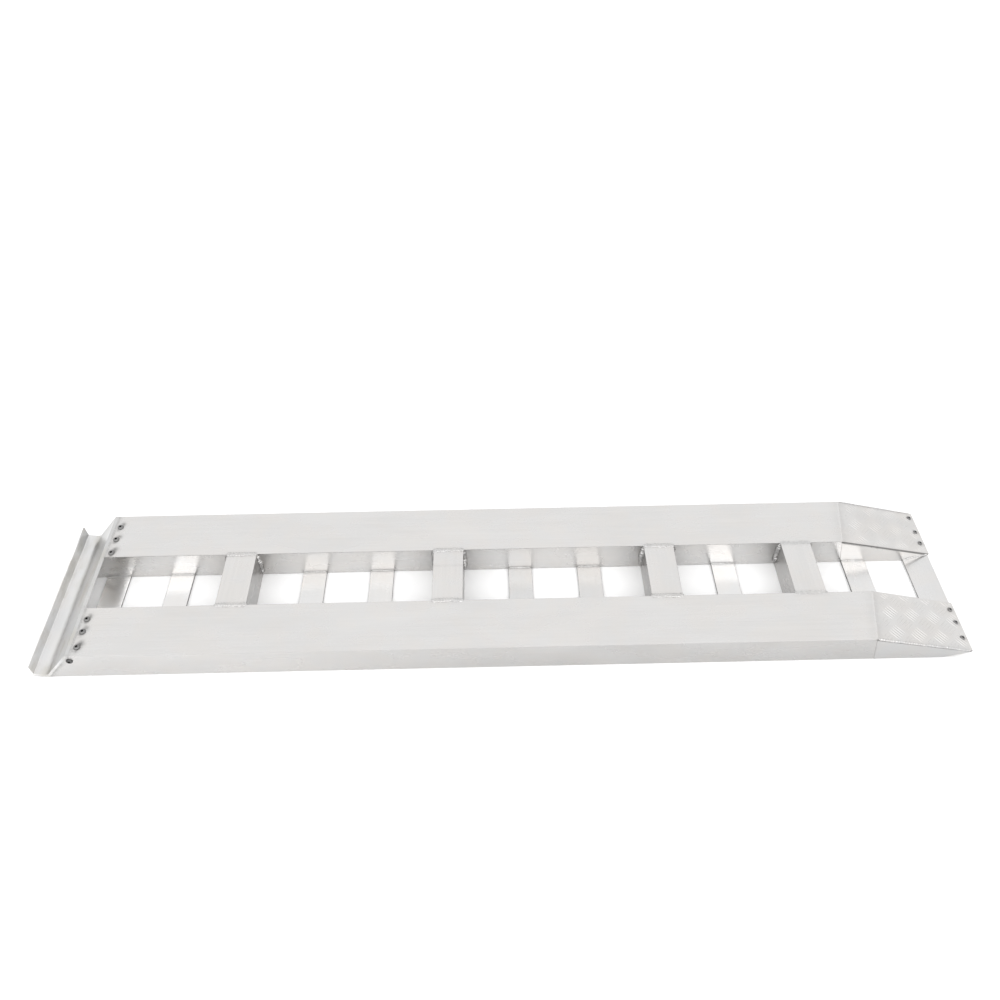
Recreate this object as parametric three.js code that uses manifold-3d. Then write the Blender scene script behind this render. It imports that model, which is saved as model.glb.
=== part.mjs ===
// Loading ramp: two hollow rails joined by cross tubes and flat rungs, with a bent hook plate at the vehicle
// end and a tapered toe at the ground end. Millimetres, +Z up. X runs from the hook to the toe and Y across.
// The ramp lies with its tread side down, so the hook lip and the checker plates of the toe face up.
import * as THREE from 'three';
import { mergeVertices } from 'three/addons/utils/BufferGeometryUtils.js';
import Module from 'manifold-3d';

const wasm = await Module();
wasm.setup();

// Overall sizes
const LENGTH = 2010;
const HEIGHT = 75;
const RAIL_WIDTH = 125;
const RAIL_GAP = 142;
const WIDTH = 2 * RAIL_WIDTH + RAIL_GAP;
const HOOK_X = -LENGTH / 2;
const TOE_X = LENGTH / 2;
const RAIL_Y = (RAIL_GAP + RAIL_WIDTH) / 2;

// Clearance left between pieces that touch, and under a screw's head
const GAP = 0.3;
const SEAT_GAP = 0.03;

// Rail extrusion
const RAIL_WALL = 4;
const RAIL_CORNER = 2.5;

// Members welded between the rails, at their middles
const TUBE_X = [-591, -117.5, 364.5, 679.5];
const TUBE_WIDTH = 68;
const TUBE_WALL = 4;
const TUBE_CORNER = 2;
const RUNG_X = [-893.5, -744.5, -434, -276.5, 47, 208, 524, 831];
const RUNG_WIDTH = 55;
const RUNG_THICKNESS = 5;
const RUNG_CORNER = 1;

// Hook plate, as seen from the side: lip, base and the slope that closes the mitred rail ends
const LIP_THICKNESS = 4;
const LIP_TOP = 38.5;
const BASE_THICKNESS = 6;
const BASE_RISE = 5.5;
const BASE_LENGTH = 31;
const SLOPE_TOP_X = -914;
const SLOPE_LAND = 10;
const SLOPE_RUN = 60;

// Angle brackets inside the rail ends, which the hook screws pull up to the rail
const BRACKET_THICKNESS = 10;
const BRACKET_END_X = -866;
const BRACKET_LOW_Z = 30;

// Toe: checker deck over two side plates and a bent floor plate. The rails are cut a little askew, so the
// taper starts at a different x on a rail's outer and inner face.
const TAPER_START = { near: { outer: 786, inner: 812 }, far: { outer: 811, inner: 788 } };
const RAIL_END_SLANT = 14;
const TOE_TOP_Z = 24;
const DECK_THICKNESS = 6;
const SIDE_THICKNESS = 4;
const FLOOR_THICKNESS = 5;
const BEVEL_START_X = 950;
const BEVEL_END = [1003, 17];

// Button-head socket screws, placed by hand across each rail, from its middle
const HOOK_SCREW = { shank: 4, length: 12, head: 7, rise: 3.6, socket: 2.6 };
const TOE_SCREW = { shank: 3, length: 9.5, head: 5.5, rise: 2.8, socket: 2.1 };
const SCREW_SIDES = 16;
const SCREW_CLEARANCE = 0.3;
const HOOK_SCREW_X = -893;
const HOOK_SCREW_Y = { near: [-39, 0, 32], far: [-50, -10, 28] };
const SIDE_SCREW = { x: -907, z: 59 };
const TOE_SCREW_X = 993;
const TOE_SCREW_Y = { near: [-32, 8, 42], far: [-33, 1, 46] };

// Axis orders that turn an outline drawn in XZ into a plate across the ramp, and one drawn in YZ into a bar
// along it
const ACROSS = new THREE.Matrix4().makeBasis(
  new THREE.Vector3(1, 0, 0),
  new THREE.Vector3(0, 0, 1),
  new THREE.Vector3(0, -1, 0),
);
const ALONG = new THREE.Matrix4().makeBasis(
  new THREE.Vector3(0, 1, 0),
  new THREE.Vector3(0, 0, 1),
  new THREE.Vector3(1, 0, 0),
);

// Materials
function aluminium(color, roughness) {
  return new THREE.MeshStandardMaterial({ color, roughness, metalness: 0.9 });
}

const railMetal = () => aluminium(0xdedddb, 0.42);
const tubeMetal = () => aluminium(0xd8d7d3, 0.45);
const rungMetal = () => aluminium(0xe0deda, 0.35);
const hookMetal = () => aluminium(0xc8c6c2, 0.4);
const deckMetal = () => aluminium(0xdad9d5, 0.5);
const toePlateMetal = () => aluminium(0xcfcecb, 0.45);
const bracketMetal = () => aluminium(0xb9b8b5, 0.5);
const screwMetal = () => new THREE.MeshStandardMaterial({ color: 0x4a4a4c, roughness: 0.45, metalness: 0.8 });

// Closed solid for cutting and joining, from a three.js geometry
function solid(geometry) {
  const bare = geometry.clone();
  bare.deleteAttribute('normal');
  bare.deleteAttribute('uv');
  const merged = mergeVertices(bare, 1e-4);
  const corners = merged.index.array;
  const faces = [];
  for (let i = 0; i < corners.length; i += 3) {
    const [a, b, c] = corners.slice(i, i + 3);
    if (a !== b && b !== c && c !== a) faces.push(a, b, c);
  }
  return new wasm.Manifold(new wasm.Mesh({
    numProp: 3,
    vertProperties: new Float32Array(merged.attributes.position.array),
    triVerts: new Uint32Array(faces),
  }));
}

function geometryOf(body) {
  const mesh = body.getMesh();
  const geometry = new THREE.BufferGeometry();
  geometry.setAttribute('position', new THREE.BufferAttribute(mesh.vertProperties, 3));
  geometry.setIndex(new THREE.BufferAttribute(mesh.triVerts, 1));
  geometry.computeVertexNormals();
  return geometry;
}

function piece(name, geometry, material, x = 0, y = 0, z = 0) {
  const mesh = new THREE.Mesh(geometry, material);
  mesh.name = name;
  mesh.position.set(x, y, z);
  return mesh;
}

// Closed outline through corners [x, y, radius], with round corners where a radius is given
function outline(corners) {
  const shape = new THREE.Shape();
  const points = corners.map(([x, y]) => new THREE.Vector2(x, y));
  corners.forEach(([, , radius = 0], i) => {
    const corner = points[i];
    const before = points.at(i - 1).clone().sub(corner).normalize();
    const after = points[(i + 1) % points.length].clone().sub(corner).normalize();
    const reach = radius ? radius / Math.tan(before.angleTo(after) / 2) : 0;
    const start = corner.clone().addScaledVector(before, reach);
    const end = corner.clone().addScaledVector(after, reach);
    if (i === 0) shape.moveTo(start.x, start.y);
    else shape.lineTo(start.x, start.y);
    if (radius) shape.quadraticCurveTo(corner.x, corner.y, end.x, end.y);
  });
  shape.closePath();
  return shape;
}

function rectangle(width, low, high, radius) {
  const half = width / 2;
  return outline([[-half, low, radius], [half, low, radius], [half, high, radius], [-half, high, radius]]);
}

function extrude(shape, depth, steps = 3) {
  return new THREE.ExtrudeGeometry(shape, { depth, bevelEnabled: false, curveSegments: steps });
}

// Plate of the given width, centred on Y, whose side view is the outline
function acrossPlate(shape, width, steps) {
  return extrude(shape, width, steps).applyMatrix4(ACROSS).translate(0, width / 2, 0);
}

// Bar from x = from to x = to whose end view is the outline
function alongBar(shape, from, to) {
  return extrude(shape, to - from).applyMatrix4(ALONG).translate(from, 0, 0);
}

function box(x, y, z) {
  const size = new THREE.Vector3(x[1] - x[0], y[1] - y[0], z[1] - z[0]);
  const middle = [(x[0] + x[1]) / 2, (y[0] + y[1]) / 2, (z[0] + z[1]) / 2];
  return solid(new THREE.BoxGeometry(size.x, size.y, size.z).translate(...middle));
}

// Where two lines of the side view meet, each given by two points
function meet([a, b], [c, d]) {
  const [ux, uz] = [b[0] - a[0], b[1] - a[1]];
  const [vx, vz] = [d[0] - c[0], d[1] - c[1]];
  const along = ((c[0] - a[0]) * vz - (c[1] - a[1]) * vx) / (ux * vz - uz * vx);
  return [a[0] + along * ux, a[1] + along * uz];
}

// The line moved sideways by distance, to its right when looking from its first point to its second
function offset([a, b], distance) {
  const run = Math.hypot(b[0] - a[0], b[1] - a[1]);
  const [nx, nz] = [(b[1] - a[1]) / run * distance, -(b[0] - a[0]) / run * distance];
  return [[a[0] + nx, a[1] + nz], [b[0] + nx, b[1] + nz]];
}

const level = (z) => [[0, z], [1, z]];
const upright = (x) => [[x, 0], [x, 1]];

// Lines of the side view that several pieces share
const slopeFoot = [SLOPE_TOP_X - SLOPE_RUN, BASE_THICKNESS];
const slopeFront = [slopeFoot, [SLOPE_TOP_X, HEIGHT]];
const slopeBack = slopeFront.map(([x, z]) => [x + SLOPE_LAND, z]);
const mitre = offset(slopeBack, GAP);
const bevel = [[BEVEL_START_X, 0], BEVEL_END];

const outward = (side) => (side === 'near' ? -1 : 1);

// Side view of the toe on one face of a rail
function toeLines(side, face) {
  const start = TAPER_START[side][face];
  const deckTop = [[start, HEIGHT], [TOE_X, TOE_TOP_Z]];
  return {
    deckTop,
    deckUnder: offset(deckTop, DECK_THICKNESS),
    railEnd: [[start, HEIGHT], [start + RAIL_END_SLANT, 0]],
  };
}

// Convex solid across a rail, between the side view on its outer face and the one on its inner face
function spanned(side, sideView) {
  const half = outward(side) * RAIL_WIDTH / 2;
  const corners = Object.entries({ outer: half, inner: -half }).flatMap(([face, y]) => (
    sideView(toeLines(side, face)).map(([x, z]) => [x, y, z])
  ));
  return wasm.Manifold.hull(corners);
}

// Screw standing on z = 0 with its shank below, its head above and a hexagon socket in the head
function screwGeometry({ shank, length, head, rise, socket }) {
  const profile = [
    [0, -length],
    [shank, -length],
    [shank, 0],
    [head, 0],
    [head, rise * 0.25],
    [head * 0.8, rise * 0.75],
    [head * 0.5, rise],
    [0, rise],
  ].map(([r, z]) => new THREE.Vector2(r, z));
  const body = solid(new THREE.LatheGeometry(profile, SCREW_SIDES).rotateX(Math.PI / 2));
  const depth = rise * 0.65;
  const recess = new THREE.CylinderGeometry(socket, socket, 2 * depth, 6)
    .rotateX(Math.PI / 2)
    .translate(0, 0, rise);
  return geometryOf(body.subtract(solid(recess)));
}

// Round hole for a screw's shank, running down from z = 0
function shankHole({ shank, length }) {
  const radius = shank + SCREW_CLEARANCE;
  const depth = length + GAP;
  return new THREE.CylinderGeometry(radius, radius, 2 * depth, SCREW_SIDES).rotateX(Math.PI / 2);
}

function cutHoles(body, holes) {
  return holes.reduce((rest, hole) => rest.subtract(solid(hole)), body);
}

function hookScrewHoles(side) {
  const top = HOOK_SCREW_Y[side].map((y) => shankHole(HOOK_SCREW).translate(HOOK_SCREW_X, y, HEIGHT));
  const flank = shankHole(HOOK_SCREW)
    .rotateX(Math.PI / 2)
    .translate(SIDE_SCREW.x, outward(side) * RAIL_WIDTH / 2, SIDE_SCREW.z);
  return [...top, flank];
}

// Twin-cell box extrusion, mitred under the hook plate and cut square to the toe's deck
function rail(side) {
  const bar = solid(alongBar(rectangle(RAIL_WIDTH, 0, HEIGHT, RAIL_CORNER), HOOK_X, TOE_X));
  const cellHeight = [RAIL_WALL, HEIGHT - RAIL_WALL];
  const cellEdges = [RAIL_WALL / 2, RAIL_WIDTH / 2 - RAIL_WALL];
  const cells = [
    box([HOOK_X - 1, TOE_X + 1], cellEdges, cellHeight),
    box([HOOK_X - 1, TOE_X + 1], cellEdges.map((y) => -y).reverse(), cellHeight),
  ];
  const webRelief = box([HOOK_X, BRACKET_END_X + RAIL_WALL], [-RAIL_WALL, RAIL_WALL], cellHeight);
  const kept = spanned(side, ({ railEnd }) => {
    const end = offset(railEnd, GAP);
    return [level(-1), level(HEIGHT + 1)].flatMap((line) => [meet(mitre, line), meet(end, line)]);
  });
  const hollow = bar.subtract(cells[0]).subtract(cells[1]).subtract(webRelief);
  const body = cutHoles(hollow.intersect(kept), hookScrewHoles(side));
  return piece(`rail_${side}`, geometryOf(body), railMetal());
}

// Angle inside the rail end: one leg under the rail's top wall, the other against the mitre
function hookBracket(side) {
  const roof = HEIGHT - RAIL_WALL - GAP;
  const inner = offset(mitre, BRACKET_THICKNESS);
  const sideView = outline([
    meet(mitre, level(roof)),
    meet(mitre, level(BRACKET_LOW_Z)),
    meet(inner, level(BRACKET_LOW_Z)),
    meet(inner, level(roof - BRACKET_THICKNESS)),
    [BRACKET_END_X, roof - BRACKET_THICKNESS],
    [BRACKET_END_X, roof],
  ]);
  const width = RAIL_WIDTH - 2 * (RAIL_WALL + GAP);
  const body = cutHoles(solid(acrossPlate(sideView, width)), hookScrewHoles(side));
  return piece(`hook_bracket_${side}`, geometryOf(body), bracketMetal());
}

function hookScrews(side) {
  const screw = (name, ...place) => piece(name, screwGeometry(HOOK_SCREW), screwMetal(), ...place);
  const top = HOOK_SCREW_Y[side].map((y, i) => (
    screw(`hook_screw_${side}_${i + 1}`, HOOK_SCREW_X, y, HEIGHT + SEAT_GAP)
  ));
  const flankY = outward(side) * (RAIL_WIDTH / 2 + SEAT_GAP);
  const flank = screw(`hook_side_screw_${side}`, SIDE_SCREW.x, flankY, SIDE_SCREW.z);
  flank.rotation.x = -outward(side) * Math.PI / 2;
  return [...top, flank];
}

// One bent plate across both rails: lip, base and slope
function hookPlate() {
  const lipRoot = [HOOK_X + LIP_THICKNESS, BASE_RISE + BASE_THICKNESS];
  const sideView = outline([
    [HOOK_X, LIP_TOP, 1.5],
    [HOOK_X, BASE_RISE, 5],
    [HOOK_X + BASE_LENGTH, 0, 6],
    [...meet(slopeBack, level(0)), 0],
    [SLOPE_TOP_X + SLOPE_LAND, HEIGHT, 1],
    [SLOPE_TOP_X, HEIGHT, 1],
    [...slopeFoot, 14],
    [...lipRoot, 3],
    [HOOK_X + LIP_THICKNESS * 0.75, LIP_TOP, 1],
  ]);
  return piece('hook_plate', acrossPlate(sideView, WIDTH, 4), hookMetal());
}

function crossTube(x, i) {
  const shape = rectangle(TUBE_WIDTH, 0, HEIGHT, TUBE_CORNER);
  const bore = rectangle(TUBE_WIDTH - 2 * TUBE_WALL, TUBE_WALL, HEIGHT - TUBE_WALL, 0);
  shape.holes.push(new THREE.Path(bore.getPoints()));
  return piece(`cross_tube_${i + 1}`, acrossPlate(shape, RAIL_GAP - 2 * GAP), tubeMetal(), x);
}

function rung(x, i) {
  const shape = rectangle(RUNG_WIDTH, 0, RUNG_THICKNESS, RUNG_CORNER);
  return piece(`rung_${i + 1}`, acrossPlate(shape, RAIL_GAP - 2 * GAP, 2), rungMetal(), x);
}

// Last rung, which lies in the plane of the toe's bevel
function noseRung() {
  const top = offset(bevel, -RUNG_THICKNESS);
  const sideView = outline([
    [...meet(bevel, level(0)), RUNG_CORNER],
    [...BEVEL_END, RUNG_CORNER],
    [...top[1], RUNG_CORNER],
    [...top[0], RUNG_CORNER],
  ]);
  return piece('nose_rung', acrossPlate(sideView, RAIL_GAP - 2 * GAP, 2), rungMetal());
}

// The toe's screws stand square on the deck, whose end follows the steeper of its two faces
function onDeck(side, geometry, y) {
  const start = Math.max(...Object.values(TAPER_START[side]));
  const angle = Math.atan2(HEIGHT - TOE_TOP_Z, TOE_X - start);
  const z = TOE_TOP_Z + (TOE_X - TOE_SCREW_X) * Math.tan(angle);
  return geometry.rotateY(angle).translate(TOE_SCREW_X, y, z);
}

function toeScrewHoles(side) {
  return TOE_SCREW_Y[side].map((y) => onDeck(side, shankHole(TOE_SCREW), y));
}

function toeDeck(side) {
  const plate = spanned(side, ({ deckTop, deckUnder, railEnd }) => (
    [deckTop[0], meet(railEnd, deckUnder), deckUnder[1], deckTop[1]]
  ));
  const body = cutHoles(plate, toeScrewHoles(side));
  return piece(`toe_deck_${side}`, geometryOf(body), deckMetal());
}

// Space beyond the rail's end and below its deck, to which the floor and side plates are cut
function toeRoom(side) {
  const beyondRail = spanned(side, ({ railEnd }) => [
    meet(railEnd, level(-1)),
    meet(railEnd, level(HEIGHT)),
    [TOE_X, HEIGHT],
    [TOE_X, -1],
  ]);
  const deckAndAbove = spanned(side, ({ deckUnder, railEnd }) => {
    const ceiling = offset(deckUnder, GAP);
    return [meet(railEnd, ceiling), ceiling[1], [TOE_X + 1, 2 * HEIGHT], meet(railEnd, level(2 * HEIGHT))];
  });
  return beyondRail.subtract(deckAndAbove);
}

// Bent plate between the side plates: flat, then rising with the bevel to a feather edge under the deck
function toeFloor(side) {
  const floorTop = offset(bevel, -FLOOR_THICKNESS);
  const start = Math.min(...Object.values(TAPER_START[side]));
  const sideView = outline([
    [start, 0],
    bevel[0],
    bevel[1],
    meet(upright(BEVEL_END[0]), floorTop),
    meet(floorTop, level(FLOOR_THICKNESS)),
    [start, FLOOR_THICKNESS],
  ]);
  const plate = solid(acrossPlate(sideView, RAIL_WIDTH - 2 * (SIDE_THICKNESS + GAP)));
  const body = cutHoles(plate.intersect(toeRoom(side)), toeScrewHoles(side));
  return piece(`toe_floor_${side}`, geometryOf(body), toePlateMetal());
}

function toeSide(side, face) {
  const start = Math.min(...Object.values(TAPER_START[side]));
  const sideView = outline([[start, 0], bevel[0], bevel[1], [BEVEL_END[0], HEIGHT], [start, HEIGHT]]);
  const y = (face === 'outer' ? 1 : -1) * outward(side) * (RAIL_WIDTH - SIDE_THICKNESS) / 2;
  const plate = solid(acrossPlate(sideView, SIDE_THICKNESS).translate(0, y, 0));
  return piece(`toe_${face}_side_${side}`, geometryOf(plate.intersect(toeRoom(side))), toePlateMetal());
}

function toeScrews(side) {
  return TOE_SCREW_Y[side].map((y, i) => {
    const geometry = onDeck(side, screwGeometry(TOE_SCREW).translate(0, 0, SEAT_GAP), y);
    return piece(`toe_screw_${side}_${i + 1}`, geometry, screwMetal());
  });
}

// Everything that belongs to one rail, built about the rail's own middle line
function runner(side) {
  const group = new THREE.Group();
  group.position.y = outward(side) * RAIL_Y;
  group.add(
    rail(side),
    hookBracket(side),
    ...hookScrews(side),
    toeDeck(side),
    toeFloor(side),
    toeSide(side, 'outer'),
    toeSide(side, 'inner'),
    ...toeScrews(side),
  );
  return group;
}

const ramp = new THREE.Group();
ramp.add(runner('near'), runner('far'), hookPlate());
ramp.add(...TUBE_X.map(crossTube), ...RUNG_X.map(rung), noseRung());

export default ramp;
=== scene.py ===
"""Loading ramp, lying tread side down on a pale floor."""
import math

import bmesh
import bpy
from mathutils import Matrix, Vector, noise


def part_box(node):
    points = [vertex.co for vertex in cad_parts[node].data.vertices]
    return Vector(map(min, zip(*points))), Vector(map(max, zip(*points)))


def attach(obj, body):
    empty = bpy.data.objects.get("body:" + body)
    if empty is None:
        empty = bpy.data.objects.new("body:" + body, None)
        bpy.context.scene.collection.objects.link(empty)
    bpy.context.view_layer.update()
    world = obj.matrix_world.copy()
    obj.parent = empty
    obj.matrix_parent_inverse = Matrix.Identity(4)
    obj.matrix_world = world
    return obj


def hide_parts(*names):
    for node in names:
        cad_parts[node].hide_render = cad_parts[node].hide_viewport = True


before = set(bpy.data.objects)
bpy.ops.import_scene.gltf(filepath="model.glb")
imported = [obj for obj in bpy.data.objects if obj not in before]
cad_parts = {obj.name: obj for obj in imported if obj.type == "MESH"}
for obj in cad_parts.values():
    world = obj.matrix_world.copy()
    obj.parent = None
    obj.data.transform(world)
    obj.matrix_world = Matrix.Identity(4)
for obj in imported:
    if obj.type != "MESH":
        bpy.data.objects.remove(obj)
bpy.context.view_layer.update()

MM = 0.001

# Corner radii of the visible pieces, in millimetres. The rails' and tubes' are sharper than in the CAD.
RAIL_CORNER = 1.2
TUBE_CORNER = 1.4
RUNG_CORNER = 0.9
BORE_CORNER = 1.0

# Sizes repeated from the CAD source, in millimetres. Everything else comes from the nodes' boxes.
RAIL_WALL = 4.0
TUBE_WALL = 4.0
GAP = 0.3
TAPER_START = {"near": {"outer": 786.0, "inner": 812.0}, "far": {"outer": 811.0, "inner": 788.0}}
RAIL_END_SLANT = 14.0
TOE_TOP_Z = 24.0
DECK_THICKNESS = 6.0
SLOPE_FOOT = (-974.0, 6.0)
SLOPE_TOP_X = -914.0
SLOPE_LAND = 10.0
LIP_THICKNESS = 4.0
LIP_TOP = 38.5
BASE_RISE = 5.5
BASE_LENGTH = 31.0
BASE_THICKNESS = 6.0
NOSE_LOW = Vector((950.0, 0.0))
NOSE_HIGH = Vector((1003.0, 17.0))
NOSE_THICKNESS = 5.0
SIDES = ("near", "far")
UP = (0, 0, 1)

SAME_FACE = 0.05  # a point this near to a face's plane is on the face


def span(node):
    """The node's box as ((x0, x1), (y0, y1), (z0, z1)) in millimetres."""
    low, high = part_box(node)
    return [(a / MM, b / MM) for a, b in zip(low, high)]


def centre(node):
    return Vector([(a + b) / 2 for a, b in span(node)])


RAIL = {side: span(f"rail_{side}") for side in SIDES}
HEIGHT = RAIL["near"][2][1]
TOE_X = span("toe_deck_near")[0][1]
HOOK = span("hook_plate")
TUBES = [span(f"cross_tube_{i}") for i in range(1, 5)]
RUNGS = [span(f"rung_{i}") for i in range(1, 9)]
NOSE = span("nose_rung")
INNER = {"near": RAIL["near"][1][1], "far": RAIL["far"][1][0]}
OUTER = {"near": RAIL["near"][1][0], "far": RAIL["far"][1][1]}
HOOK_SCREWS = {side: [centre(f"hook_screw_{side}_{i}") for i in (1, 2, 3)] for side in SIDES}
TOE_SCREWS = {side: [centre(f"toe_screw_{side}_{i}") for i in (1, 2, 3)] for side in SIDES}


def outward(side):
    return -1.0 if side == "near" else 1.0


def slope_back(z):
    """X of the slope plate's rear face at height z."""
    foot_x, foot_z = SLOPE_FOOT
    return foot_x + SLOPE_LAND + (z - foot_z) * (SLOPE_TOP_X - foot_x) / (HEIGHT - foot_z)


def taper_start(side, y):
    """X where the deck starts, at y across the rail."""
    across = (y - INNER[side]) / (OUTER[side] - INNER[side])
    ends = TAPER_START[side]
    return ends["inner"] + (ends["outer"] - ends["inner"]) * across


def rail_end(side, y, z):
    return taper_start(side, y) + RAIL_END_SLANT * (HEIGHT - z) / HEIGHT


def deck_slope(side):
    """The deck's angle to the floor."""
    return math.atan2(HEIGHT - TOE_TOP_Z, TOE_X - max(TAPER_START[side].values()))


def deck_top(side, x, y):
    """Height of the deck's top, which is two flat triangles."""
    late = max(TAPER_START[side].values())
    early = min(TAPER_START[side].values())
    drop = HEIGHT - TOE_TOP_Z
    tip = TOE_TOP_Z + (TOE_X - x) * drop / (TOE_X - late)
    root = HEIGHT - (x - taper_start(side, y)) * drop / (TOE_X - early)
    return min(tip, root)


# ---------------------------------------------------------------------------------------------- materials


class Nodes:
    """Short way to build a node tree."""

    def __init__(self, tree):
        self.tree = tree
        self.tree.nodes.clear()

    def add(self, kind, inputs=None, output=0, **settings):
        node = self.tree.nodes.new(kind)
        for key, value in settings.items():
            setattr(node, key, value)
        for key, value in (inputs or {}).items():
            if isinstance(value, bpy.types.NodeSocket):
                self.tree.links.new(value, node.inputs[key])
            else:
                node.inputs[key].default_value = value
        return node.outputs[output] if node.outputs else None

    def math(self, operation, a, b=0.0, clamp=False):
        return self.add("ShaderNodeMath", {0: a, 1: b}, operation=operation, use_clamp=clamp)

    def around(self, value, amount):
        """The value's swing about a half, times the amount."""
        return self.math("MULTIPLY", self.math("SUBTRACT", value, 0.5), amount)

    def mix(self, factor, a, b, blend="MIX"):
        return self.add("ShaderNodeMix", {0: factor, 6: a, 7: b}, 2, data_type="RGBA", blend_type=blend)

    def scaled(self, coords, scale, turn=(0.0, 0.0, 0.0)):
        return self.add("ShaderNodeMapping", {"Vector": coords, "Scale": scale, "Rotation": turn})

    def noise(self, coords, scale=1.0, detail=2.0, rough=0.5):
        inputs = {"Vector": coords, "Scale": scale, "Detail": detail, "Roughness": rough}
        return self.add("ShaderNodeTexNoise", inputs)

    def ramp(self, value, low, high, out_low=0.0, out_high=1.0):
        inputs = {0: value, 1: low, 2: high, 3: out_low, 4: out_high}
        return self.add("ShaderNodeMapRange", inputs, clamp=True, interpolation_type="SMOOTHSTEP")

    def axis(self, vector, index):
        return self.add("ShaderNodeSeparateXYZ", {0: vector}, index)

    def attribute(self, name):
        return self.add("ShaderNodeAttribute", output=2, attribute_name=name)


def grey(value, warm=0.0):
    return (value * (1 + warm), value, value * (1 - warm), 1.0)


# Turn and lengthwise scale of the three sets of scuffs
SCUFFS = ((0.5, 5.0), (-0.9, 7.0), (2.2, 4.0))


def metal(name, tone, roughness, grain, grain_depth=0.04, cloud=0.06, warm=0.008, scratch=0.5, edge=0.0,
          edge_axis=0, smut_and_shade_tone=0.32, corner_shade=0.0, speckle=0.03, stain=0.0):
    """Bare metal: cloudy oxide, drawing lines along the grain, scuffs, and dark smut and painted shade where
    the mesh says so.

    edge paints shade on the faces square to edge_axis, corner paints shade on rounded edges to dim their
    highlights, and stain adds brown patches. The mesh's tone attribute adds painted light and shade.
    """
    material = bpy.data.materials.new(name)
    material.use_nodes = True
    n = Nodes(material.node_tree)
    place = n.add("ShaderNodeTexCoord", output=3)
    lines = n.noise(n.scaled(place, tuple(6.0 if g else 260.0 for g in grain)), 1.0, 3.0, 0.6)
    fine = n.noise(n.scaled(place, tuple(9.0 if g else 1100.0 for g in grain)), 1.0, 2.0, 0.6)
    clouds = n.noise(n.scaled(place, tuple(5.0 if g else 14.0 for g in grain)), 1.0, 4.0, 0.55)
    patches = n.noise(place, 21.0, 3.0, 0.5)
    speck = n.noise(place, 420.0, 2.0, 0.6)

    shade = n.math("ADD", 1.0, n.around(clouds, cloud * 2))
    shade = n.math("ADD", shade, n.around(lines, grain_depth * 2))
    shade = n.math("ADD", shade, n.around(speck, speckle))
    # the mesh's tone attribute lightens or darkens the metal: painted light and shade
    shade = n.math("MULTIPLY", shade, n.math("ADD", 1.0, n.attribute("tone")))
    tint = n.mix(n.ramp(patches, 0.38, 0.62), grey(tone, warm + 0.006), grey(tone, warm - 0.006))
    colour = n.mix(1.0, tint, n.add("ShaderNodeCombineColor", {0: shade, 1: shade, 2: shade}), "MULTIPLY")
    if stain:
        spread = n.ramp(n.noise(n.scaled(place, (22.0, 9.0, 22.0)), 1.0, 4.0, 0.6), 0.45, 0.68, 0.0, stain)
        colour = n.mix(spread, colour, (tone * 0.74, tone * 0.71, tone * 0.62, 1.0))

    scuffs = []
    for turn, reach in SCUFFS:
        streak = n.noise(n.scaled(place, (reach, 420.0, 420.0), (0.2, 0.1, turn)), 1.0, 1.0, 0.5)
        scuffs.append(n.ramp(streak, 0.70, 0.76))
    scuff = n.math("MAXIMUM", n.math("MAXIMUM", scuffs[0], scuffs[1]), scuffs[2])
    scuff = n.math("MULTIPLY", scuff, n.ramp(patches, 0.45, 0.7, 0.15, 1.0))
    scuff = n.math("MULTIPLY", scuff, scratch, clamp=True)
    colour = n.mix(n.math("MULTIPLY", scuff, 0.25), colour, grey(tone * 0.72))

    # smut_and_shade mixes real smut with painted shade from the mesh; edge and corner below add more painted
    # shade
    broken = n.ramp(n.noise(place, 95.0, 4.0, 0.65), 0.3, 0.62, 0.35, 1.0)
    smut_and_shade = n.math("MINIMUM", n.math("MULTIPLY", n.attribute("smut_and_shade"), broken), 1.0)
    if edge:
        # painted shade on faces square to edge_axis: the rungs' sides and the tread plate's side edges
        edge_shade_facing = n.math("ABSOLUTE", n.axis(n.add("ShaderNodeTexCoord", output=1), edge_axis))
        smut_and_shade = n.math("MAXIMUM", smut_and_shade, n.ramp(edge_shade_facing, 0.55, 0.9, 0.0, edge))
    if corner_shade:
        # painted shade on rounded corners, dimming the highlights that they catch
        normal = n.add("ShaderNodeTexCoord", output=1)
        turned = n.add("ShaderNodeVectorMath", {0: normal}, operation="ABSOLUTE")
        flat = n.math("MAXIMUM", n.axis(turned, 1), n.axis(turned, 2))
        smut_and_shade = n.math("MAXIMUM", smut_and_shade, n.ramp(flat, 0.75, 0.97, corner_shade, 0.0))
    colour = n.mix(smut_and_shade, colour, grey(smut_and_shade_tone, 0.02))
    colour = n.mix(n.attribute("worn"), colour, grey(min(1.0, tone * 1.16), warm))

    rough = n.math("ADD", roughness, n.around(clouds, 0.14))
    rough = n.math("ADD", rough, n.math("MULTIPLY", scuff, 0.12))
    rough = n.math("ADD", rough, n.math("MULTIPLY", smut_and_shade, 0.25), clamp=True)
    height = n.math("ADD", n.math("MULTIPLY", lines, 0.5), n.math("MULTIPLY", fine, 0.25))
    height = n.math("ADD", height, n.math("MULTIPLY", scuff, -0.4))
    height = n.math("ADD", height, n.math("MULTIPLY", n.math("MULTIPLY", smut_and_shade, speck), 0.8))
    bump = n.add("ShaderNodeBump", {"Strength": 0.22, "Distance": 0.0004, "Height": height})
    shader = n.add("ShaderNodeBsdfPrincipled",
                   {"Base Color": colour, "Metallic": 1.0, "Roughness": rough, "Normal": bump})
    n.add("ShaderNodeOutputMaterial", {"Surface": shader})
    return material


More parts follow.
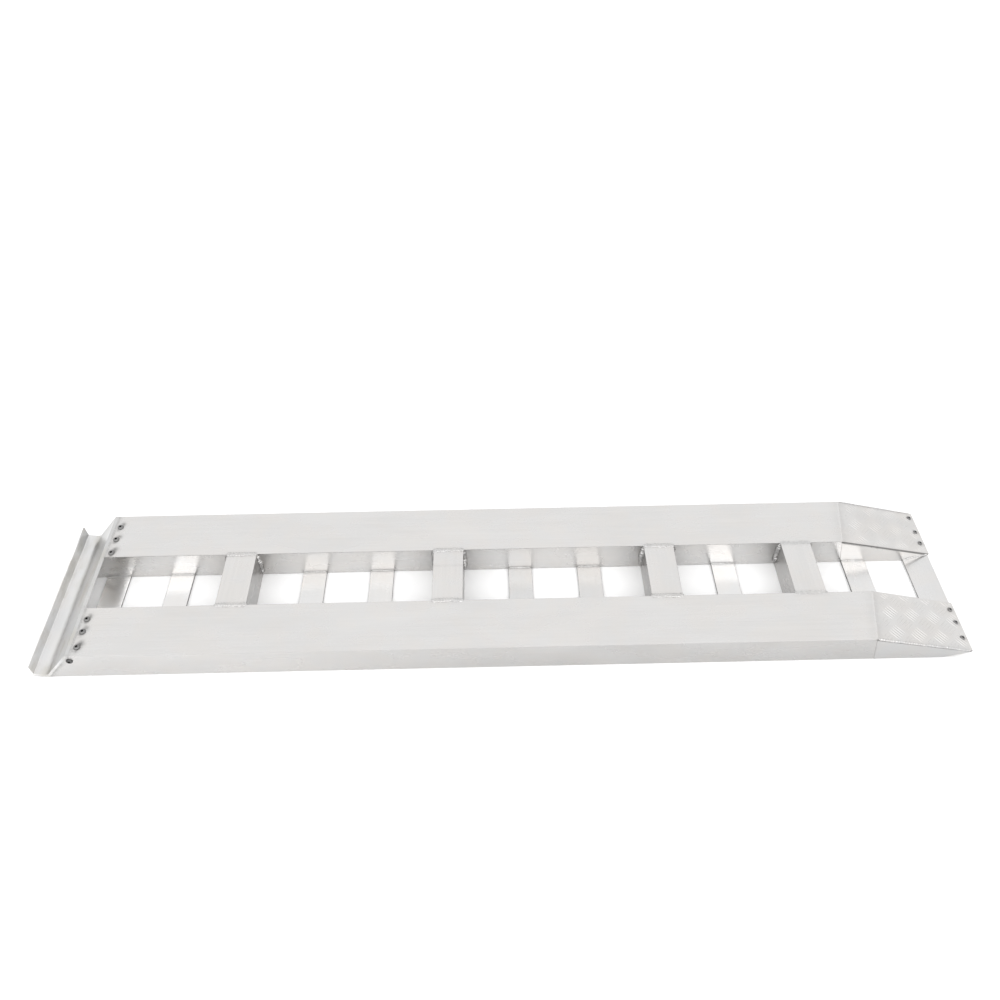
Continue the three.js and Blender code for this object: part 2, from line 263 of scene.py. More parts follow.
ALONG_X = (1, 0, 0)
ALONG_Y = (0, 1, 0)
NO_GRAIN = (0, 0, 0)
# the rails' rounded corners get painted shade
RAIL_METAL = metal("rail mill finish", 0.612, 0.27, ALONG_X, warm=0.016, scratch=0.2, corner_shade=0.6,
                   smut_and_shade_tone=0.21)
TUBE_METAL = metal("tube mill finish", 0.615, 0.27, ALONG_Y, warm=0.018, scratch=0.3)
# the rungs' sides get painted shade
RUNG_METAL = metal("rung flat bar", 0.66, 0.26, ALONG_Y, grain_depth=0.03, warm=0.009, scratch=0.3, edge=0.85,
                   smut_and_shade_tone=0.16)
HOOK_METAL = metal("hook plate", 0.655, 0.34, ALONG_Y, cloud=0.16, warm=0.004, stain=0.45)
# the tread plate's side edges get a painted shadow line, for the gap under the deck's edge
DECK_METAL = metal("tread plate", 0.59, 0.36, NO_GRAIN, 0.05, cloud=0.08, warm=0.018, edge=0.8, edge_axis=1,
                   smut_and_shade_tone=0.2, speckle=0.08)
PLATE_METAL = metal("toe side plate", 0.61, 0.30, ALONG_X, warm=0.02)
# the toe's outer plates are darker: painted shade, like the rails' outer faces
OUTER_PLATE_SHADED_METAL = metal("toe outer plate painted shade", 0.50, 0.30, ALONG_X, warm=0.008)
BRACKET_METAL = metal("sawn bracket", 0.5, 0.45, ALONG_Y)
WELD_METAL = metal("weld bead", 0.54, 0.28, NO_GRAIN, 0.02, cloud=0.16, scratch=0.0, warm=0.012, speckle=0.9)
SCREW_METAL = metal("screw steel", 0.22, 0.38, NO_GRAIN, 0.05, cloud=0.25, scratch=0.2, smut_and_shade_tone=0.012)

# ---------------------------------------------------------------------------------------------- mesh tools


def rounded(corners, steps=6):
    """Closed loop through (u, v, radius) corners, with a circular arc at each radius."""
    loop = []
    for i, (u, v, radius) in enumerate(corners):
        here = Vector((u, v))
        if not radius:
            loop.append(here)
            continue
        back = (Vector(corners[i - 1][:2]) - here).normalized()
        ahead = (Vector(corners[(i + 1) % len(corners)][:2]) - here).normalized()
        half = back.angle(ahead) / 2
        middle = here + (back + ahead).normalized() * radius / math.sin(half)
        start = here + back * radius / math.tan(half) - middle
        end = here + ahead * radius / math.tan(half) - middle
        turn = start.angle(end)
        for k in range(steps + 1):
            a, b = math.sin(turn * (1 - k / steps)), math.sin(turn * k / steps)
            loop.append(middle + (start * a + end * b) / math.sin(turn))
    return loop


def divided(loop, step, hold=0.5):
    """The loop with its long sides divided, so that a mesh can carry smut between its corners.

    The points at a distance of hold from each corner keep the flat sides flat in shading.
    """
    points = []
    for i, here in enumerate(loop):
        ahead = loop[(i + 1) % len(loop)]
        length = (ahead - here).length
        points.append(here)
        if length > 4 * hold:
            parts = max(1, round(length / step))
            stops = [hold / length, *(k / parts for k in range(1, parts)), 1 - hold / length]
            points += [here.lerp(ahead, t) for t in stops]
    return points


def rectangle(u0, u1, v0, v1, radius, steps=6):
    return rounded([(u0, v0, radius), (u1, v0, radius), (u1, v1, radius), (u0, v1, radius)], steps)


def steps_between(a, b, step):
    parts = max(1, round(abs(b - a) / step))
    return [a + (b - a) * k / parts for k in range(parts + 1)]


def loft(bm, rings, capped=True):
    rows = [[bm.verts.new(point) for point in ring] for ring in rings]
    for a, b in zip(rows, rows[1:]):
        for i in range(len(a)):
            j = (i + 1) % len(a)
            bm.faces.new((a[i], a[j], b[j], b[i]))
    if capped:
        bm.faces.new(rows[0][::-1])
        bm.faces.new(rows[-1])


def loft_across(bm, outline, stops, capped=True):
    """Lofts an (x, z) outline through the stops, which are places along y."""
    loft(bm, [[Vector((x, y, z)) for x, z in outline] for y in stops], capped)


def close_ends(bm, axis):
    """Fills the two open ends around their bores, one end at a time."""
    middle = sum(v.co[axis] for v in bm.verts) / len(bm.verts)
    open_edges = [e for e in bm.edges if len(e.link_faces) == 1]
    for low in (True, False):
        rim = [e for e in open_edges if (e.verts[0].co[axis] < middle) == low]
        bmesh.ops.triangle_fill(bm, use_beauty=True, use_dissolve=False, edges=rim)


def piece(name, bm, material, replaces=(), bevel=0.0, angle=32.0):
    """Turns a mesh drawn in millimetres into a piece that rides on the ramp."""
    bmesh.ops.recalc_face_normals(bm, faces=bm.faces)
    bmesh.ops.scale(bm, vec=(MM, MM, MM), verts=bm.verts)
    mesh = bpy.data.meshes.new(name)
    bm.to_mesh(mesh)
    bm.free()
    mesh.materials.append(material)
    mesh.polygons.foreach_set("use_smooth", [True] * len(mesh.polygons))
    mesh.set_sharp_from_angle(angle=math.radians(angle))
    obj = bpy.data.objects.new(name, mesh)
    bpy.context.scene.collection.objects.link(obj)
    if bevel:
        soften(obj, bevel, angle)
    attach(obj, "root")
    if replaces:
        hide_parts(*replaces)
    return obj


def soften(obj, width, angle):
    edge = obj.modifiers.new("edges", "BEVEL")
    edge.width = width * MM
    edge.segments = 2
    edge.limit_method = "ANGLE"
    edge.angle_limit = math.radians(angle)
    edge.harden_normals = True


def dress(node, material):
    """Keeps a CAD node, with a finished material and softened edges."""
    node.data.materials.clear()
    node.data.materials.append(material)
    node.modifiers.new("join", "WELD").merge_threshold = 0.02 * MM
    soften(node, 0.4, 30)


def store(obj, name, values):
    """Stores a number on each vertex, for the material to read."""
    obj.data.attributes.new(name, "FLOAT", "POINT").data.foreach_set("value", values)


def mark(obj, name, value_at):
    """Stores a number on each vertex, from its place in millimetres."""
    store(obj, name, [value_at(v.co / MM) for v in obj.data.vertices])


def smut_and_shade_line(a, b, reach, strength):
    """A line that smut and painted shade gather along, for near_lines."""
    return Vector(a), Vector(b), reach, strength


def distance_to(point, a, b):
    along = b - a
    t = max(0.0, min(1.0, (point - a).dot(along) / along.length_squared))
    return (point - a - along * t).length


def near_lines(lines):
    """Smut and painted shade strength close to any of the lines."""
    def value(point):
        best = 0.0
        for a, b, reach, strength in lines:
            gap = distance_to(point, a, b) / reach
            if gap < 2.2:
                best = max(best, strength * math.exp(-gap * gap * 1.6))
        return best
    return value


# ---------------------------------------------------------------------------------------------- rails

RAIL_LOOP_STEP = 6
# The mesh is finer at the hook end, for the painted shadows beside the screws
RAIL_FINE_PART, RAIL_FINE_STEPS, RAIL_STEPS = 0.04, 24, 220
SCREW_SHADOW_REACHES = (10.0, 8.0, 8.0)
SCREW_SHADOW_START, SCREW_SHADOW_END = Vector((-2.0, -6.0, 0.0)), Vector((5.0, 8.0, 0.0))


def rail_smut_and_shade(side):
    """Smut along the rail's mitre and toe end and beside the tube welds, painted shade on the inner wall
    beside the tubes and along its foot, smut and painted shade where the rungs meet it, and a painted shadow
    beside each hook screw.
    """
    outer, inner = OUTER[side], INNER[side]
    top_x, foot_x = slope_back(HEIGHT), slope_back(0)
    end_outer, end_inner = taper_start(side, outer) - 4, taper_start(side, inner) - 4
    lines = [
        smut_and_shade_line((end_outer, outer, HEIGHT), (end_inner, inner, HEIGHT), 16, 0.14),
        smut_and_shade_line((top_x, outer, HEIGHT), (top_x, inner, HEIGHT), 9, 0.4),
        smut_and_shade_line((top_x, outer, HEIGHT), (foot_x, outer, 0), 7, 0.45),
        smut_and_shade_line((top_x, inner, HEIGHT), (foot_x, inner, 0), 9, 0.4),
        # painted shade along the foot of the inner wall
        smut_and_shade_line((-890, inner, 0), (800, inner, 0), 4, 0.2),
    ]
    walls = []
    for (x0, x1), _, _ in TUBES:
        lines.append(smut_and_shade_line((x0, inner, HEIGHT), (x1, inner, HEIGHT), 9, 0.2))
        # painted shade on the inner wall beside each tube
        walls += [smut_and_shade_line((x, inner, HEIGHT), (x, inner, 0), 36, 0.32) for x in (x0, x1)]
    for (x0, x1), _, _ in RUNGS:
        # smut and painted shade where the rungs meet the wall
        lines.append(smut_and_shade_line((x0, inner, 5), (x1, inner, 5), 6, 0.45))
    # a painted shadow beside each hook screw
    screw_shadows = [smut_and_shade_line(screw + SCREW_SHADOW_START, screw + SCREW_SHADOW_END, reach, 1.5)
              for screw, reach in zip(HOOK_SCREWS[side], SCREW_SHADOW_REACHES)]
    everywhere, on_wall, by_screws = near_lines(lines), near_lines(walls), near_lines(screw_shadows)

    def value(point):
        wall = on_wall(point) if abs(point.y - inner) < SAME_FACE else 0.0
        screw_shadow = by_screws(point) if point.z > HEIGHT - 0.1 else 0.0
        return max(0.7 * max(everywhere(point), wall), screw_shadow)
    return value


def side_shade(side, point):
    """Painted shade on the outer face: darker than the top, most of all from the middle of the rail on, with
    a little random blotching.
    """
    if abs(point.y - OUTER[side]) > SAME_FACE:
        return 0.0
    t = max(0.0, min(1.0, (point.x + 650) / 800))
    blotch = noise.noise(Vector((point.x * 0.009, 0.0, point.z * 0.02)))
    return -0.08 - 0.14 * t * t * (3 - 2 * t) + 0.03 * blotch


def rail(side):
    _, (y0, y1), (z0, z1) = RAIL[side]
    middle = (y0 + y1) / 2

    def ends(loop):
        hook = [Vector((slope_back(z) + GAP + 0.1, y, z)) for y, z in loop]
        toe = [Vector((rail_end(side, y, z) - GAP, y, z)) for y, z in loop]
        return hook, toe

    bm = bmesh.new()
    hook, toe = ends(divided(rectangle(y0, y1, z0, z1, RAIL_CORNER), RAIL_LOOP_STEP))
    stations = [RAIL_FINE_PART * k / RAIL_FINE_STEPS for k in range(RAIL_FINE_STEPS)]
    stations += [RAIL_FINE_PART + (1 - RAIL_FINE_PART) * k / RAIL_STEPS for k in range(RAIL_STEPS + 1)]
    loft(bm, [[a.lerp(b, t) for a, b in zip(hook, toe)] for t in stations], False)
    for u0, u1 in ((y0 + RAIL_WALL, middle - RAIL_WALL / 2), (middle + RAIL_WALL / 2, y1 - RAIL_WALL)):
        loft(bm, ends(rectangle(u0, u1, z0 + RAIL_WALL, z1 - RAIL_WALL, BORE_CORNER, 2)), False)
    close_ends(bm, 0)
    obj = piece(f"rail_{side}_extrusion", bm, RAIL_METAL, [f"rail_{side}"])
    mark(obj, "smut_and_shade", rail_smut_and_shade(side))
    mark(obj, "tone", lambda point: side_shade(side, point))


# ---------------------------------------------------------------------------------------------- cross members

ACROSS_STEP = 5
# painted shade on the side of each tube that faces the middle of the ramp
TUBE_SIDE_SHADES = (-0.27, -0.5, -0.38, -0.22)
# painted light and shade: each rung is made lighter or darker to match how it is lit
RUNG_LIGHT_AND_SHADE = {1: 0.5, 2: 0.06, 3: 0.03, 4: 0.03, 5: -0.08, 6: -0.07, 7: 0.05, 8: 0.0}
NOSE_TONE = -0.05
# The tube with a dark line across it, and the line's distance from the tube's far end
SCORED_TUBE, SCORE_INSET = 1, 44


def cross_tube(index):
    (x0, x1), (y0, y1), (z0, z1) = TUBES[index]
    bm = bmesh.new()
    outline = divided(rectangle(x0, x1, z0, z1, TUBE_CORNER), 9)
    loft_across(bm, outline, steps_between(y0, y1, ACROSS_STEP), False)
    bore = rectangle(x0 + TUBE_WALL, x1 - TUBE_WALL, z0 + TUBE_WALL, z1 - TUBE_WALL, BORE_CORNER, 2)
    loft_across(bm, bore, (y0, y1), False)
    close_ends(bm, 1)
    name = f"cross_tube_{index + 1}"
    obj = piece(f"{name}_box_section", bm, TUBE_METAL, [name])
    lines = []
    for y in (y0, y1):
        lines.append(smut_and_shade_line((x0, y, z1), (x1, y, z1), 9, 0.2))
        lines += [smut_and_shade_line((x, y, z1), (x, y, z0), 9, 0.22) for x in (x0, x1)]
    if index == SCORED_TUBE:
        lines.append(smut_and_shade_line((x0, y1 - SCORE_INSET, z1), (x1, y1 - SCORE_INSET, z1), 2.5, 0.3))
    mark(obj, "smut_and_shade", near_lines(lines))
    seen = x1 if index < 2 else x0

    def tone(point):
        """Painted shade: the side that faces the middle of the ramp is darkest, most of all at the top, and
        the other side is a little darker than the top.
        """
        if abs(point.x - seen) < SAME_FACE:
            return TUBE_SIDE_SHADES[index] * (0.75 + 0.5 * point.z / z1)
        return -0.15 if min(abs(point.x - x0), abs(point.x - x1)) < SAME_FACE else 0.0
    mark(obj, "tone", tone)


def rung(index):
    (x0, x1), (y0, y1), (z0, z1) = RUNGS[index]
    bm = bmesh.new()
    outline = divided(rectangle(x0, x1, z0, z1, RUNG_CORNER, 4), 8)
    loft_across(bm, outline, steps_between(y0, y1, ACROSS_STEP))
    name = f"rung_{index + 1}"
    obj = piece(f"{name}_flat_bar", bm, RUNG_METAL, [name])
    # the rung's ends get smut and painted shade where they meet the rails
    mark(obj, "smut_and_shade", near_lines([smut_and_shade_line((x0, y, z1), (x1, y, z1), 5, 0.5) for y in (y0, y1)]))
    mark(obj, "tone", lambda point: RUNG_LIGHT_AND_SHADE[index + 1])


def nose_rung():
    _, (y0, y1), _ = NOSE
    run, rise = NOSE_HIGH - NOSE_LOW
    angle = math.atan2(rise, run)
    lean = Vector((-math.sin(angle), math.cos(angle))) * NOSE_THICKNESS
    corners = [(*p, RUNG_CORNER) for p in (NOSE_LOW, NOSE_HIGH, NOSE_HIGH + lean, NOSE_LOW + lean)]
    bm = bmesh.new()
    loft_across(bm, divided(rounded(corners, 4), 8), steps_between(y0, y1, ACROSS_STEP))
    obj = piece("nose_rung_flat_bar", bm, RUNG_METAL, ["nose_rung"])
    mark(obj, "tone", lambda point: NOSE_TONE)


# ---------------------------------------------------------------------------------------------- hook plate

HOOK_STEP = 7
ABOVE_BASE = 12
FAR_END_REACH = 70


def hook_plate():
    (hook_x, _), (y0, y1), _ = HOOK
    outline = rounded([
        (hook_x, LIP_TOP, 1.4),
        (hook_x, BASE_RISE, 5.0),
        (hook_x + BASE_LENGTH, 0.0, 6.0),
        (slope_back(0.0), 0.0, 0.6),
        (SLOPE_TOP_X + SLOPE_LAND, HEIGHT, 1.0),
        (SLOPE_TOP_X, HEIGHT, 1.0),
        (*SLOPE_FOOT, 13.0),
        (hook_x + LIP_THICKNESS, BASE_RISE + BASE_THICKNESS, 3.0),
        (hook_x + LIP_THICKNESS * 0.75, LIP_TOP, 1.0),
    ])
    bm = bmesh.new()
    loft_across(bm, divided(outline, HOOK_STEP), steps_between(y0, y1, HOOK_STEP))
    obj = piece("hook_plate_bent", bm, HOOK_METAL, ["hook_plate"], bevel=0.6)
    lines = [smut_and_shade_line((slope_back(0), y, 0), (slope_back(HEIGHT), y, HEIGHT), 7, 0.3)
             for y in (y0, y1, INNER["near"], INNER["far"])]
    lines.append(smut_and_shade_line((SLOPE_FOOT[0], y0, 6), (SLOPE_FOOT[0], y1, 6), 6, 0.18))
    mark(obj, "smut_and_shade", near_lines(lines))

    def tone(point):
        """Painted light and shade: the lip and the slope's rear are painted lightest, and the mitred top edge
        and the far end get painted shade.
        """
        far = max(0.0, 1 - (y1 - point.y) / FAR_END_REACH)
        raised = point.z > ABOVE_BASE
        if raised and point.x < hook_x + 5:
            return 0.4 - 0.9 * far
        if point.z > HEIGHT - 1.5:
            return -0.16
        return 0.3 if abs(point.x - slope_back(point.z)) < 0.3 else -0.35 * far * raised
    mark(obj, "tone", tone)


# ---------------------------------------------------------------------------------------------- toe

BAR_PITCH = 36.0
BAR_STEP = 6.6
BAR_LENGTH = 28.0
BAR_WIDTH = 3.0
BAR_RISE = 0.8
BAR_PROFILE = ((-1.0, -0.5), (-0.75, 0.55), (-0.3, 0.96), (0.3, 0.96), (0.75, 0.55), (1.0, -0.5))
BAR_RINGS = 8
BAR_SHORTEST = 6.0
BAR_WEAR = 0.03
BAR_GROUPS = range(-9, 10)
FIRST_GROUP_Y = {"near": 24.0, "far": 9.0}
DECK_ROWS = 44


def lens(bm, middle, along, reach, surface, out):
    """One raised bar of the tread pattern: a long lens that follows the plate. reach is its start and end."""
    across = Vector((-along.y, along.x))
    rings = []
    for k in range(BAR_RINGS + 1):
        t = -math.cos(math.pi * k / BAR_RINGS)
        s = (reach[0] + reach[1]) / 2 + (reach[1] - reach[0]) / 2 * t
        size = max(0.12, math.sqrt(max(0.0, 1 - t * t)))
        half = BAR_WIDTH / 2 * size
        ring = []
        for w, h in BAR_PROFILE:
            flat = middle + along * s + across * (w * half)
            rise = h * (BAR_RISE * size if h > 0 else 1.0)
            ring.append(Vector((flat.x, flat.y, surface(flat.x, flat.y))) + out * rise)
        rings.append(ring)
    loft(bm, rings)


def tread_bars(bm, side, out):
    """Five-bar pattern: groups of five short bars, turned a quarter from one group to the next."""
    y_low, y_high = sorted((OUTER[side], INNER[side]))
    first, second = Vector((1.0, 1.0)).normalized(), Vector((1.0, -1.0)).normalized()
    origin = Vector((TOE_X - 14.0, y_low + FIRST_GROUP_Y[side]))

    def inside(point):
        if not y_low + 2.0 < point.y < y_high - 2.0:
            return False
        if not taper_start(side, point.y) + 16.0 < point.x < TOE_X - 2.5:
            return False
        return all((point - screw.xy).length > 8.0 for screw in TOE_SCREWS[side])

    for i in BAR_GROUPS:
        for j in BAR_GROUPS:
            middle = origin + first * (BAR_PITCH * i) + second * (BAR_PITCH * j)
            along, across = (first, second) if (i + j) % 2 else (second, first)
            for k in range(-2, 3):
                start = middle + across * (BAR_STEP * k)
                stops = steps_between(-BAR_LENGTH / 2, BAR_LENGTH / 2, 1.0)
                held = [s for s in stops if inside(start + along * s)]
                if held and held[-1] - held[0] > BAR_SHORTEST:
                    lens(bm, start, along, (held[0], held[-1]), lambda x, y: deck_top(side, x, y), out)


def toe_deck(side):
    y_low, y_high = sorted((OUTER[side], INNER[side]))
    slope = deck_slope(side)
    out = Vector((math.sin(slope), 0.0, math.cos(slope)))
    bm = bmesh.new()
    columns = steps_between(y_low, y_high, ACROSS_STEP)

    def sheet(drop):
        grid = []
        for y in columns:
            start = taper_start(side, y) + (GAP if drop else 0)
            row = []
            for k in range(DECK_ROWS + 1):
                x = start + (TOE_X - start) * k / DECK_ROWS
                row.append(Vector((x, y, deck_top(side, x, y))) - out * drop)
            grid.append([bm.verts.new(p) for p in row])
        return grid

    top, under = sheet(0.0), sheet(DECK_THICKNESS)
    last = len(columns) - 1
    for c in range(last):
        for r in range(DECK_ROWS):
            bm.faces.new((top[c][r], top[c][r + 1], top[c + 1][r + 1], top[c + 1][r]))
            bm.faces.new((under[c][r], under[c + 1][r], under[c + 1][r + 1], under[c][r + 1]))
        for r in (0, DECK_ROWS):
            bm.faces.new((top[c][r], top[c + 1][r], under[c + 1][r], under[c][r]))
    for c in (0, last):
        for r in range(DECK_ROWS):
            bm.faces.new((top[c][r], under[c][r], under[c][r + 1], top[c][r + 1]))
    plate_verts = len(bm.verts)
    tread_bars(bm, side, out)
    name = f"toe_deck_{side}"
    obj = piece(f"{name}_tread_plate", bm, DECK_METAL, [name], bevel=0.45, angle=50)
    outer, inner = OUTER[side], INNER[side]
    root = (taper_start(side, outer), outer, HEIGHT)
    lines = [
        smut_and_shade_line(root, (taper_start(side, inner), inner, HEIGHT), 16, 0.2),
        smut_and_shade_line(root, (TOE_X, outer, TOE_TOP_Z), 7, 0.12),
    ]
    lines += [smut_and_shade_line(screw, screw + Vector((4.0, 0.0, 0.0)), 8, 0.5) for screw in TOE_SCREWS[side]]
    mark(obj, "smut_and_shade", near_lines(lines))
    store(obj, "worn", [0.0 if v.index < plate_verts else BAR_WEAR for v in obj.data.vertices])


# ---------------------------------------------------------------------------------------------- screws

SCREW_SIDES = 48
SCREW_LIFT = 0.03
HOOK_SCREW = {"head": 7.0, "rise": 3.5, "socket": 2.4, "shank": 4.0, "length": 12.0}
TOE_SCREW = {"head": 5.5, "rise": 2.7, "socket": 1.9, "shank": 3.0, "length": 9.5}
TOE_SCREW_X = 993.0
# painted shade: the hexagon socket is painted near black
SOCKET_SHADE = 2.8
SIDE_SCREW_GRIME = 0.6


def socket_screw(name, place, axis, head, rise, socket, shank, length, grime=0.0):
    """Button-head screw: a domed head with a rounded rim, a hexagon socket and a plain shank."""
    def ring(radius, z):
        return [(radius, 2 * math.pi * k / SCREW_SIDES, z) for k in range(SCREW_SIDES)]

    def hexagon(flat, z):
        points = []
        for k in range(SCREW_SIDES):
            turn = 2 * math.pi * k / SCREW_SIDES
            points.append((flat / math.cos(turn % (math.pi / 3) - math.pi / 6), turn, z))
        return points

    depth = rise * 0.68
    profile = [ring(shank, -length), ring(shank, -0.4), ring(head * 0.94, 0.0), ring(head, 0.25 * rise * 0.5)]
    for k in range(1, 8):
        t = k / 7
        profile.append(ring(head * (1 - 0.5 * t ** 1.6), rise * (0.2 + 0.8 * math.sin(t * math.pi / 2))))
    top = len(profile)
    profile += [hexagon(socket + 0.25, rise), hexagon(socket, rise - 0.3), hexagon(socket, rise - depth)]
    profile.append(hexagon(0.2, rise - depth - 0.5))
    turn = Vector(UP).rotation_difference(Vector(axis))
    bm = bmesh.new()
    loft(bm, [[turn @ Vector((r * math.cos(a), r * math.sin(a), z)) + place for r, a, z in points]
              for points in profile])
    obj = piece(f"{name}_socket_head", bm, SCREW_METAL, [name], angle=40)
    # the socket gets painted shade and the head gets grime
    first_dark = (top + 1) * SCREW_SIDES
    store(obj, "smut_and_shade", [SOCKET_SHADE if v.index >= first_dark else grime for v in obj.data.vertices])


def screws():
    for side in SIDES:
        slope = deck_slope(side)
        tip_z = TOE_TOP_Z + (TOE_X - TOE_SCREW_X) * math.tan(slope)
        for i in (1, 2, 3):
            hook, toe = HOOK_SCREWS[side][i - 1], TOE_SCREWS[side][i - 1]
            place = Vector((hook.x, hook.y, HEIGHT + SCREW_LIFT))
            socket_screw(f"hook_screw_{side}_{i}", place, UP, **HOOK_SCREW)
            place = Vector((TOE_SCREW_X, toe.y, tip_z))
            socket_screw(f"toe_screw_{side}_{i}", place, (math.sin(slope), 0.0, math.cos(slope)), **TOE_SCREW)
        middle = centre(f"hook_side_screw_{side}")
        place = Vector((middle.x, OUTER[side] + outward(side) * SCREW_LIFT, middle.z))
        axis = (0, outward(side), 0)
        socket_screw(f"hook_side_screw_{side}", place, axis, **HOOK_SCREW, grime=SIDE_SCREW_GRIME)


# ---------------------------------------------------------------------------------------------- welds

BEAD_SIDES = 10
BEAD_PITCH = 6.0

# Half-width and height of each kind of bead
TUBE_TOP_BEAD = (5.2, 2.0)
GROUND_TUBE_BEAD = (5.2, 0.3)
CORNER_BEAD = (8.0, 5.6)
RUNG_BEAD = (2.0, 1.6)
HOOK_INSIDE_BEAD = (3.2, 2.6)
HOOK_OUTSIDE_BEAD = (2.0, 0.4)
HOOK_TOP_BEAD = (2.6, 0.3)
GROUND_TOE_BEAD = (1.4, 0.05)
DECK_EDGE_BEAD = (2.4, 1.3)
DECK_UNDER_BEAD = (1.6, 1.0)
NOSE_BEAD = (2.2, 1.8)


def bead(bm, path, up, across, rise, seed=0):
    """Row of overlapping weld ripples along the path. Half of it is sunk in the metal that it joins."""
    up = Vector(up).normalized()
    lengths = [(b - a).length for a, b in zip(path, path[1:])]
    total = sum(lengths)
    stations = max(6, int(total / (BEAD_PITCH / 5)))
    rings = []
    for k in range(stations + 1):
        s = total * k / stations
        index, rest = 0, s
        while index < len(lengths) - 1 and rest > lengths[index]:
            rest -= lengths[index]
            index += 1
        tangent = (path[index + 1] - path[index]).normalized()
        side = tangent.cross(up).normalized()
        top = side.cross(tangent).normalized()
        wander = noise.noise(Vector((s * 0.07, seed * 3.7, 0.0)))
        swell = 1 + 0.22 * noise.noise(Vector((s * 0.13, seed * 5.1, 4.0)))
        here = path[index] + tangent * rest + side * across * 0.2 * wander
        taper = math.sqrt(max(0.02, min(1.0, s / across, (total - s) / across)))
        ring = []
        for a in range(BEAD_SIDES):
            turn = 2 * math.pi * a / BEAD_SIDES
            phase = 2 * math.pi * s / BEAD_PITCH + 2.4 * math.cos(turn) ** 2 + wander * 2
            lump = noise.noise(Vector((s * 0.35, math.cos(turn) * 1.5 + seed * 2.3, math.sin(turn) * 1.5)))
            size = taper * swell * (1 + 0.2 * math.cos(phase) + 0.35 * lump)
            ring.append(here + side * across * size * math.cos(turn) + top * rise * size * math.sin(turn))
        rings.append(ring)
    loft(bm, rings)


def weld_piece(name, beads, material=WELD_METAL, soot=0.0):
    bm = bmesh.new()
    for seed, (path, up, across, rise) in enumerate(beads):
        bead(bm, [Vector(p) for p in path], up, across, rise, seed=seed + len(name))
    obj = piece(name, bm, material, angle=80)
    mark(obj, "smut_and_shade", lambda point: soot)


def welds():
    top, corners, feet, hook, toe, ground = [], [], [], [], [], []
    for index, ((x0, x1), _, _) in enumerate(TUBES):
        for side in SIDES:
            y, out = INNER[side], -outward(side)
            line = ((x0 - 2, y, HEIGHT), (x1 + 2, y, HEIGHT))
            top.append((line, UP, *(GROUND_TUBE_BEAD if index == 3 else TUBE_TOP_BEAD)))
            for x, face in ((x0, -1), (x1, 1)):
                corners.append((((x, y, 6), (x, y, HEIGHT - 3)), (face, out, 0), *CORNER_BEAD))
    for (x0, x1), _, (_, z1) in RUNGS:
        for side in SIDES:
            y, out = INNER[side], -outward(side)
            feet.append((((x0 + 2, y, z1 - 0.6), (x1 - 2, y, z1 - 0.6)), (0, out, 1), *RUNG_BEAD))
    for side in SIDES:
        outer, inner, out = OUTER[side], INNER[side], outward(side)
        path = ((slope_back(6) + 1, inner, 6), (slope_back(70), inner, 70))
        hook.append((path, (1, -out, 0), *HOOK_INSIDE_BEAD))
        path = ((slope_back(2), outer, 2), (slope_back(73), outer, 73))
        hook.append((path, (0, out, 0), *HOOK_OUTSIDE_BEAD))
        x = slope_back(HEIGHT)
        hook.append((((x, inner, HEIGHT), (x, outer, HEIGHT)), UP, *HOOK_TOP_BEAD))
        at_outer = (taper_start(side, outer), outer - out * 2, HEIGHT)
        at_inner = (taper_start(side, inner), inner + out * 2, HEIGHT)
        ground.append(((at_outer, at_inner), UP, *GROUND_TOE_BEAD))
        start = taper_start(side, outer) + 3
        path = [(x, outer, deck_top(side, x, outer) - 0.6) for x in (start, (start + TOE_X) / 2, TOE_X - 4)]
        toe.append((path, (0.2, out * 0.7, 1), *DECK_EDGE_BEAD))
        start = taper_start(side, inner) + 6
        path = [(x, inner, deck_top(side, x, inner) - 6.4) for x in (start, 880.0)]
        toe.append((path, (0, -out, -0.3), *DECK_UNDER_BEAD))
        path = [(x, inner, z) for x, z in ((955.0, 6.5), (1002.0, 22.0))]
        toe.append((path, (-0.3, -out, 1), *NOSE_BEAD))
    weld_piece("weld_tube_tops", top, soot=0.12)
    weld_piece("weld_tube_corners", corners, soot=0.5)
    weld_piece("weld_rung_ends", feet)
    weld_piece("weld_hook", hook, soot=0.45)
    weld_piece("weld_toe", toe)
    weld_piece("weld_toe_ground_flush", ground, RAIL_METAL)


# ---------------------------------------------------------------------------------------------- the ramp

for side_name in SIDES:
    rail(side_name)
    toe_deck(side_name)
    dress(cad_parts[f"hook_bracket_{side_name}"], BRACKET_METAL)
for number in range(len(TUBES)):
    cross_tube(number)
for number in range(len(RUNGS)):
    rung(number)
nose_rung()
hook_plate()
for side_name in SIDES:
    dress(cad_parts[f"toe_outer_side_{side_name}"], OUTER_PLATE_SHADED_METAL)
    dress(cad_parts[f"toe_inner_side_{side_name}"], PLATE_METAL)
    dress(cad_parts[f"toe_floor_{side_name}"], PLATE_METAL)
screws()
welds()

# ---------------------------------------------------------------------------------------------- stage

FLOOR_HALF = 9.0
FLOOR_DROP = 0.3 * MM
FLOOR_COLOUR = (0.97, 0.97, 0.97, 1)
WORLD_STRENGTH = 1.22

floor_bm = bmesh.new()
bmesh.ops.create_grid(floor_bm, x_segments=1, y_segments=1, size=FLOOR_HALF)
floor_mesh = bpy.data.meshes.new("floor")
floor_bm.to_mesh(floor_mesh)
floor_bm.free()
floor = bpy.data.objects.new("floor", floor_mesh)
floor.location.z = -FLOOR_DROP
bpy.context.scene.collection.objects.link(floor)
paint = bpy.data.materials.new("floor paint")
paint.use_nodes = True
nodes = Nodes(paint.node_tree)
matt = nodes.add("ShaderNodeBsdfDiffuse", {"Color": FLOOR_COLOUR})
nodes.add("ShaderNodeOutputMaterial", {"Surface": matt})
floor_mesh.materials.append(paint)

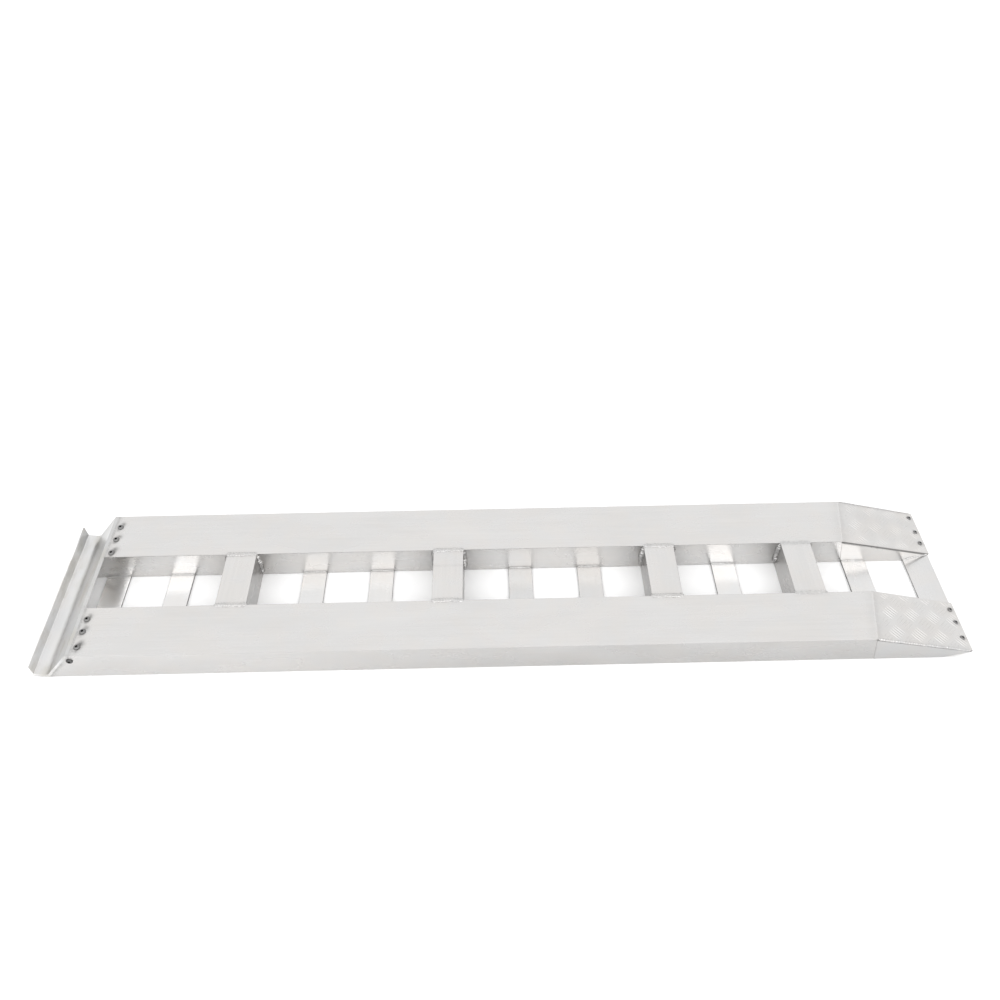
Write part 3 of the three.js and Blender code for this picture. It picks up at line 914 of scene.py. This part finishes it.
world = bpy.data.worlds.new("studio")
world.use_nodes = True
nodes = Nodes(world.node_tree)
sky = nodes.add("ShaderNodeBackground", {"Color": (1, 1, 1, 1), "Strength": WORLD_STRENGTH})
nodes.add("ShaderNodeOutputWorld", {"Surface": sky})
bpy.context.scene.world = world


def softbox(name, place, target, size, power):
    light = bpy.data.lights.new(name, "AREA")
    light.shape = "RECTANGLE"
    light.size, light.size_y = size
    light.energy = power
    obj = bpy.data.objects.new(name, light)
    obj.location = place
    obj.rotation_mode = "QUATERNION"
    obj.rotation_quaternion = (Vector(target) - Vector(place)).to_track_quat("-Z", "Y")
    bpy.context.scene.collection.objects.link(obj)


softbox("left box", (-1.75, -1.3, 1.75), (-0.9, 0.0, 0.0), (1.1, 1.1), 7.4)
softbox("right box", (1.5, -1.3, 1.75), (0.7, 0.0, 0.0), (1.3, 1.1), 8.6)
softbox("middle box", (-0.1, -1.5, 2.0), (0.0, 0.0, 0.0), (2.0, 1.4), 10.5)

# Camera: a normal lens in front of the ramp's middle and above it, looking down. Angles are in radians.
YAW, PITCH, ROLL = -0.0071928, 0.8223925, 0.0156723
CAMERA_PLACE = (-0.0069, -1.2131, 1.6225)
LENS, SENSOR_WIDTH = 31.5, 36.0


def cos_sin(angle):
    return math.cos(angle), math.sin(angle)


(ca, sa), (cb, sb), (cc, sc) = cos_sin(YAW), cos_sin(PITCH), cos_sin(ROLL)
level = Matrix(((ca, sa, 0), (-sa, ca, 0), (0, 0, 1)))
dip = Matrix(((1, 0, 0), (0, -sb, -cb), (0, cb, -sb)))
tilt = Matrix(((cc, sc, 0), (-sc, cc, 0), (0, 0, 1)))
right, down, forward = tilt @ dip @ level
camera = bpy.data.objects.new("camera", bpy.data.cameras.new("camera"))
camera.data.lens = LENS
camera.data.sensor_width = SENSOR_WIDTH
camera.matrix_world = Matrix((right, -down, -forward)).transposed().to_4x4()
camera.location = CAMERA_PLACE
bpy.context.scene.collection.objects.link(camera)
bpy.context.scene.camera = camera

bpy.context.scene.view_settings.view_transform = "Standard"
